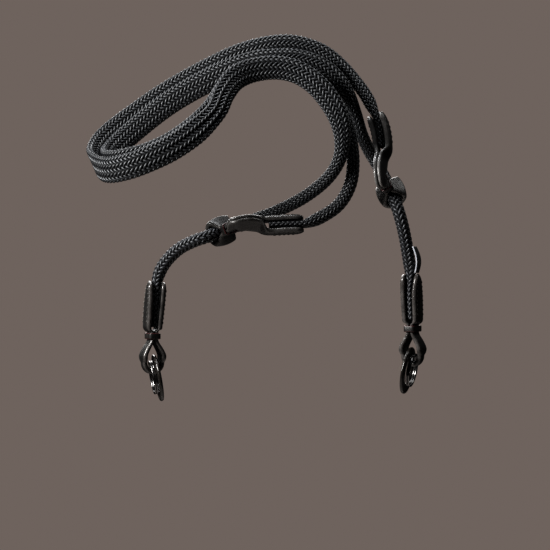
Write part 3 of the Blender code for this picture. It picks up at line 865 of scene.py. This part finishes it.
def make_keeper(name, centre, heading, across, width):
    """The band round the two legs: a rounded frame whose cut edges are painted."""
    half_out = PAIR_GAP / 2 + LEATHER + CLEARANCE - KEEPER_CORNER
    half_across = width / 2 + CLEARANCE - KEEPER_CORNER
    profile = []
    for index in range(KEEPER_SIDES):
        angle = 2 * math.pi * index / KEEPER_SIDES
        x = KEEPER_CORNER + KEEPER_WALL / 2 * (1 + squared(math.cos(angle), KEEPER_SQUARENESS[0]))
        z = KEEPER_LENGTH / 2 * squared(math.sin(angle), KEEPER_SQUARENESS[1])
        profile.append((x, z, 1.0 if abs(math.sin(angle)) > KEEPER_PAINTED else 0.0))
    sections = []
    for number, (side_out, side_across) in enumerate(((1, 1), (1, -1), (-1, -1), (-1, 1))):
        first, second = across * side_across, heading.cross(across) * side_out
        corner = centre + first * half_across + second * half_out
        if number % 2:
            first, second = second, first
        for step in range(KEEPER_CORNER_STEPS + 1):
            angle = math.pi / 2 * step / KEEPER_CORNER_STEPS
            sections.append((profile, corner, first * math.cos(angle) + second * math.sin(angle), heading))
    return sweep(name, sections, closed=True)


def end_way(turn):
    """The way an end leather's width points, turned about the upright."""
    return Vector((math.sin(turn), math.cos(turn), 0.0))


def hanging_frame(ring_way, outward):
    """A ring's axis in the fold, the way it hangs, leaning in at the bottom, and the way across both."""
    level = Vector((ring_way.y, -ring_way.x, 0.0)) * outward
    down = Vector((0, 0, -1))
    hang = down * math.cos(RING_LEAN) - level * math.sin(RING_LEAN)
    axis = level * math.cos(RING_LEAN) + down * math.sin(RING_LEAN)
    return axis, hang, axis.cross(hang)


def make_ring(name, fold, ring_way, outward):
    """The split ring: flat wire wound twice, with a step where the first turn passes to the second."""
    axis, hang, cross = hanging_frame(ring_way, outward)
    inner = RING_DIAMETER / 2 - RING_WIRE
    centre = fold + hang * (inner + END_FOLD_RADIUS - RING_PLAY) + axis * RING_OFFSET
    profile = []
    for corner in range(RING_SIDES):
        angle = 2 * math.pi * corner / RING_SIDES
        profile.append((inner + RING_WIRE / 2 * (1 + squared(math.cos(angle), RING_SQUARENESS)),
                        (RING_TURN - RING_SPLIT) / 2 * squared(math.sin(angle), RING_SQUARENESS)))
    count = RING_STEPS * RING_WINDINGS
    rings = []
    for index in range(count + 1):
        angle = (2 * math.pi * RING_WINDINGS - RING_END_GAP) * index / count
        share = ease((angle - (2 * math.pi - RING_STEP_OVER)) / RING_STEP_OVER)
        along = blend(-RING_TURN / 2, RING_TURN / 2, share)
        way = hang * math.cos(angle + RING_START) + cross * math.sin(angle + RING_START)
        rings.append([tuple(centre + way * radial + axis * (along + axial)) for radial, axial in profile])
    return tube_mesh(name, np.array([rings]))


def make_guard(name, fold, ring_way, outward):
    """The guard: a leather disc with a hole, its rims painted and rounded."""
    axis, hang, cross = hanging_frame(ring_way, outward)
    half = GUARD_THICKNESS / 2
    rounding = half * GUARD_ROUNDING
    inner, outer = GUARD_HOLE / 2 + rounding, GUARD_DIAMETER / 2 - rounding
    centre = (fold + hang * (GUARD_HOLE / 2 + END_FOLD_RADIUS - GUARD_PLAY)
              - axis * (RING_TURN + CLEARANCE + half - RING_OFFSET))
    profile = []
    for rim, far_rim, face, start in ((outer, inner, half, -90), (inner, outer, -half, 90)):
        for degrees in range(start, start + 181, GUARD_RIM_STEP):
            angle = math.radians(degrees)
            profile.append((rim + rounding * math.cos(angle), half * math.sin(angle), 1.0))
        for share in GUARD_FACE_SHARES:
            profile.append((blend(rim, far_rim, share), face, 0.0))
    sections = []
    for index in range(GUARD_STEPS):
        angle = 2 * math.pi * index / GUARD_STEPS
        sections.append((profile, centre, hang * math.cos(angle) + cross * math.sin(angle), axis))
    return sweep(name, sections, closed=True)


def make_end(side, route):
    """One outer end: the strip on the cord, its stitches and keeper, the ring and the guard."""
    turns = END_TURNS[side]
    wrap_way, fold_way, ring_way = end_way(turns.wrap), end_way(turns.fold), end_way(turns.ring)
    down = Vector((0, 0, -1))
    top = route.place(END_WRAP_LENGTH)
    middle = route.place(END_WRAP_LENGTH / 2)
    bottom = route.place(0)
    keeper_top = bottom + down * END_NECK_LENGTH
    keeper_bottom = keeper_top + down * (KEEPER_LENGTH + 2 * CLEARANCE)
    fold = keeper_bottom + down * END_FOLD_REACH
    bulge = blend(keeper_bottom, fold, END_BULGE_AT)
    top_width, middle_width, bottom_width = [STRIP_WIDTH * share for share in WRAP_WIDTHS]
    pair_width = STRIP_WIDTH * PAIR_NARROWING
    stations = [
        Station(top, end_way(turns.wrap * MOUTH_TURN), WRAP_HALF_GAP + WRAP_FLARE, top_width, WRAP_CUP),
        Station(middle, wrap_way, WRAP_HALF_GAP, middle_width, WRAP_CUP),
        Station(bottom, wrap_way, WRAP_HALF_GAP - WRAP_FLARE / 2, bottom_width, WRAP_CUP),
        Station(keeper_top, wrap_way, PAIR_HALF_GAP, pair_width, 0.0, down),
        Station(keeper_bottom, wrap_way, PAIR_HALF_GAP, pair_width, 0.0, down),
        Station(bulge, fold_way, END_BULGE + LEATHER / 2, pair_width, 0.0),
        Station(fold, fold_way, END_FOLD_RADIUS + LEATHER / 2, END_FOLD_WIDTH, 0.0, down)]
    strip, smooth, frames = make_strip(side + "_end_strip", stations, END_STEPS, END_FOLD_STEPS)
    finish(strip, "end_leather_finish")
    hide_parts(side + "_end_leather")
    finish(make_stitches(side + "_end_stitches", smooth, frames, END_SEWN), "stitch_thread")
    keeper = make_keeper(side + "_end_band", (keeper_top + keeper_bottom) / 2, down, wrap_way, pair_width)
    finish(keeper, "keeper_leather_finish")
    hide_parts(side + "_end_keeper")
    outward = -1 if side == "left" else 1
    ring = make_ring(side + "_split_ring_wire", fold, ring_way, outward)
    finish(ring, "ring_metal")
    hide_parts(side + "_split_ring")
    guard = make_guard(side + "_guard_disc", fold, ring_way, outward)
    finish(guard, "guard_leather_finish")
    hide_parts(side + "_guard")


def make_slider(side, fixed, passing):
    """One slider: the strip that clamps the end of one cord, and its collar round the other."""
    shape = SLIDERS[side]
    wrap_way = Vector(shape.wrap_width)
    neck_way = Vector(shape.neck_width)
    collar_at = passing.at_point(shape.collar_at)
    collar = passing.place(collar_at)
    collar_way = passing.heading(collar_at)
    if collar_way.y < 0:
        collar_way = -collar_way
    toward = Vector(shape.toward)
    toward = (toward - collar_way * toward.dot(collar_way)).normalized()
    fold_half_gap = CORD_DIAMETER / 2 + SLIDER_FOLD_PLAY + LEATHER / 2
    keeper_bottom = collar - toward * SLIDER_FOLD_REACH
    keeper_top = keeper_bottom - toward * (KEEPER_LENGTH + 2 * CLEARANCE)
    wrap_width = STRIP_WIDTH * PAIR_NARROWING
    stations = []
    for share, flare in ((1.0, WRAP_FLARE / 2), (0.5, WRAP_FLARE / 4), (0.0, 0.0)):
        place = fixed.place(fixed.length - SLIDER_WRAP_LENGTH * share)
        stations.append(Station(place, wrap_way, WRAP_HALF_GAP + flare, wrap_width, WRAP_CUP))
    for point in shape.neck:
        stations.append(Station(Vector(point) * MM, neck_way, PAIR_HALF_GAP, HUMP_WIDTH, 0.0))
    for place in (keeper_top, keeper_bottom):
        stations.append(Station(place, collar_way, PAIR_HALF_GAP, SLIDER_PAIR_WIDTH, 0.0, toward))
    stations.append(Station(collar, collar_way, fold_half_gap, COLLAR_WIDTH, COLLAR_CUP, toward))
    strip, smooth, frames = make_strip(side + "_slider_strip", stations, SLIDER_STEPS, SLIDER_FOLD_STEPS)
    # Each slider gets its own copy of the leather, coloured for its light; the right one's lighter copy is
    # painted highlight
    finish(strip, side + "_slider_lit_copy")
    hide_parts(side + "_slider_leather")
    finish(make_stitches(side + "_slider_stitches", smooth, frames, SLIDER_SEWN), "stitch_thread")
    keeper_middle = (keeper_top + keeper_bottom) / 2
    keeper = make_keeper(side + "_slider_band", keeper_middle, toward, collar_way, SLIDER_PAIR_WIDTH)
    finish(keeper, "keeper_leather_finish")
    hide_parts(side + "_slider_keeper")


def make_tag(route):
    """The small sewn label above the right end, bowed and plain, with a light rim and a lighter patch on the
    lower part of one face.
    """
    turn = END_TURNS["right"].wrap
    way = Vector((math.cos(turn), -math.sin(turn), 0.0))
    back = end_way(turn)
    foot = route.place(END_WRAP_LENGTH) + way * TAG_STAND - back * TAG_WIDTH / 4
    lift = route.heading(END_WRAP_LENGTH)
    sections = []
    for step in range(TAG_STEPS + 1):
        share = step / TAG_STEPS
        arch = math.sin(math.pi * share)
        middle = foot + lift * (2 * CLEARANCE + TAG_HEIGHT * share) + way * (CLEARANCE + TAG_BOW * arch)
        half = TAG_WIDTH * blend(TAG_END_SHARE, 1.0, arch) / 2
        profile = []
        for index in range(TAG_SIDES):
            angle = 2 * math.pi * index / TAG_SIDES
            x = half * squared(math.cos(angle), TAG_SQUARENESS[0])
            y = TAG_THICKNESS / 2 * squared(math.sin(angle), TAG_SQUARENESS[1])
            # A lighter patch on the lower part of one face
            lighter_patch = PATCH_MARK if share < PATCH_SHARE and math.sin(angle) < 0 else 0.0
            profile.append((x, y, 1.0 if abs(math.cos(angle)) > TAG_RIM else lighter_patch))
        sections.append((profile, middle, back, way))
    tag = sweep("right_end_label", sections)
    finish(tag, "tag_finish")
    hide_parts("right_end_tag")


def make_cord(name, route, table, first_wrap, last_wrap, collar_at):
    """One braided cord: its core, and two sets of yarns on its hanging end and on the rest."""
    surface = CordSurface(route, table, first_wrap, last_wrap)
    core = finish(make_core(name + "_core", surface), "braid_core")
    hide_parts(name)
    collar = route.at_point(collar_at)
    stretches = (("end", END_BRAID, 0.0, collar), ("neck", NECK_BRAID, collar, route.length))
    for part, braid, first, last in stretches:
        for word, hand in (("right", 1), ("left", -1)):
            made = make_yarns("_".join((name, part, "yarns", word)), surface, hand, braid, first, last)
            # The end yarn is a lighter copy of the neck yarn, as painted light
            finish(made, part + "_yarn")
    path = [tuple(route.place(float(at))) for at in np.linspace(0, route.length, PATH_POINTS)]


def make_camera():
    """The camera, level and straight in front."""
    lens = bpy.data.cameras.new("camera")
    lens.sensor_width = SENSOR
    lens.sensor_height = SENSOR
    lens.sensor_fit = "HORIZONTAL"
    lens.lens = SENSOR * VIEW_DISTANCE / VIEW_WIDTH
    lens.clip_start = 0.01
    camera = add_object("camera", lens)
    camera.location = VIEW_CENTRE + Vector((0, -VIEW_DISTANCE, 0))
    camera.rotation_euler = (math.radians(90), 0, 0)
    bpy.context.scene.camera = camera


def make_floor():
    """A plain pale floor under the hanging strap."""
    half = FLOOR_SIZE / 2
    height = cad_box[0][2] - FLOOR_BELOW
    corners = [(x, y, height) for x, y in ((-half, -half), (half, -half), (half, half), (-half, half))]
    floor = bpy.data.meshes.new("floor")
    floor.from_pydata(corners, [], [(0, 1, 2, 3)])
    floor.materials.append(floor_finish("floor_finish"))
    add_object("floor", floor)


def make_light(lamp):
    """A soft light from a flat panel that points at a target."""
    panel = bpy.data.lights.new(lamp.name, "AREA")
    panel.shape = "RECTANGLE"
    panel.size, panel.size_y = lamp.size
    panel.energy = lamp.power
    panel.color = lamp.colour
    light = add_object(lamp.name, panel)
    light.location = lamp.place
    light.rotation_euler = (Vector(lamp.target) - Vector(lamp.place)).to_track_quat("-Z", "Y").to_euler()


def make_world():
    """The backdrop's colour where the camera sees it, and a dimmer light for the object."""
    world = bpy.data.worlds.new("studio")
    bpy.context.scene.world = world
    world.use_nodes = True
    sky = world.node_tree
    seen = sky.nodes["Background"]
    seen.inputs["Color"].default_value = BACKDROP
    dim = sky.nodes.new("ShaderNodeBackground")
    dim.inputs["Color"].default_value = DIM
    rays = sky.nodes.new("ShaderNodeLightPath")
    both = sky.nodes.new("ShaderNodeMixShader")
    sky.links.new(rays.outputs["Is Camera Ray"], both.inputs[0])
    sky.links.new(dim.outputs[0], both.inputs[1])
    sky.links.new(seen.outputs[0], both.inputs[2])
    sky.links.new(both.outputs[0], sky.nodes["World Output"].inputs["Surface"])


make_camera()
looks = make_looks()
outer_route = Route([Vector(point) * MM for point in OUTER_ROUTE])
inner_route = Route([Vector(point) * MM for point in INNER_ROUTE])
end_wraps = {side: Wrap(END_WRAP_LENGTH, end_way(turns.wrap), END_MOUTH)
             for side, turns in END_TURNS.items()}
slider_wraps = {side: Wrap(SLIDER_WRAP_LENGTH, Vector(slider.wrap_width), SLIDER_MOUTH)
                for side, slider in SLIDERS.items()}
make_cord("neck_cord_outer", outer_route, OUTER_SPREAD, end_wraps["left"], slider_wraps["right"],
          SLIDERS["left"].collar_at)
make_cord("neck_cord_inner", inner_route, INNER_SPREAD, end_wraps["right"], slider_wraps["left"],
          SLIDERS["right"].collar_at)
make_end("left", outer_route)
make_end("right", inner_route)
make_slider("right", outer_route, inner_route)
make_slider("left", inner_route, outer_route)
make_tag(inner_route)

make_floor()
for lamp in LAMPS:
    make_light(lamp)
make_world()
bpy.context.scene.view_settings.view_transform = "Standard"
bpy.context.scene.view_settings.gamma = GAMMA
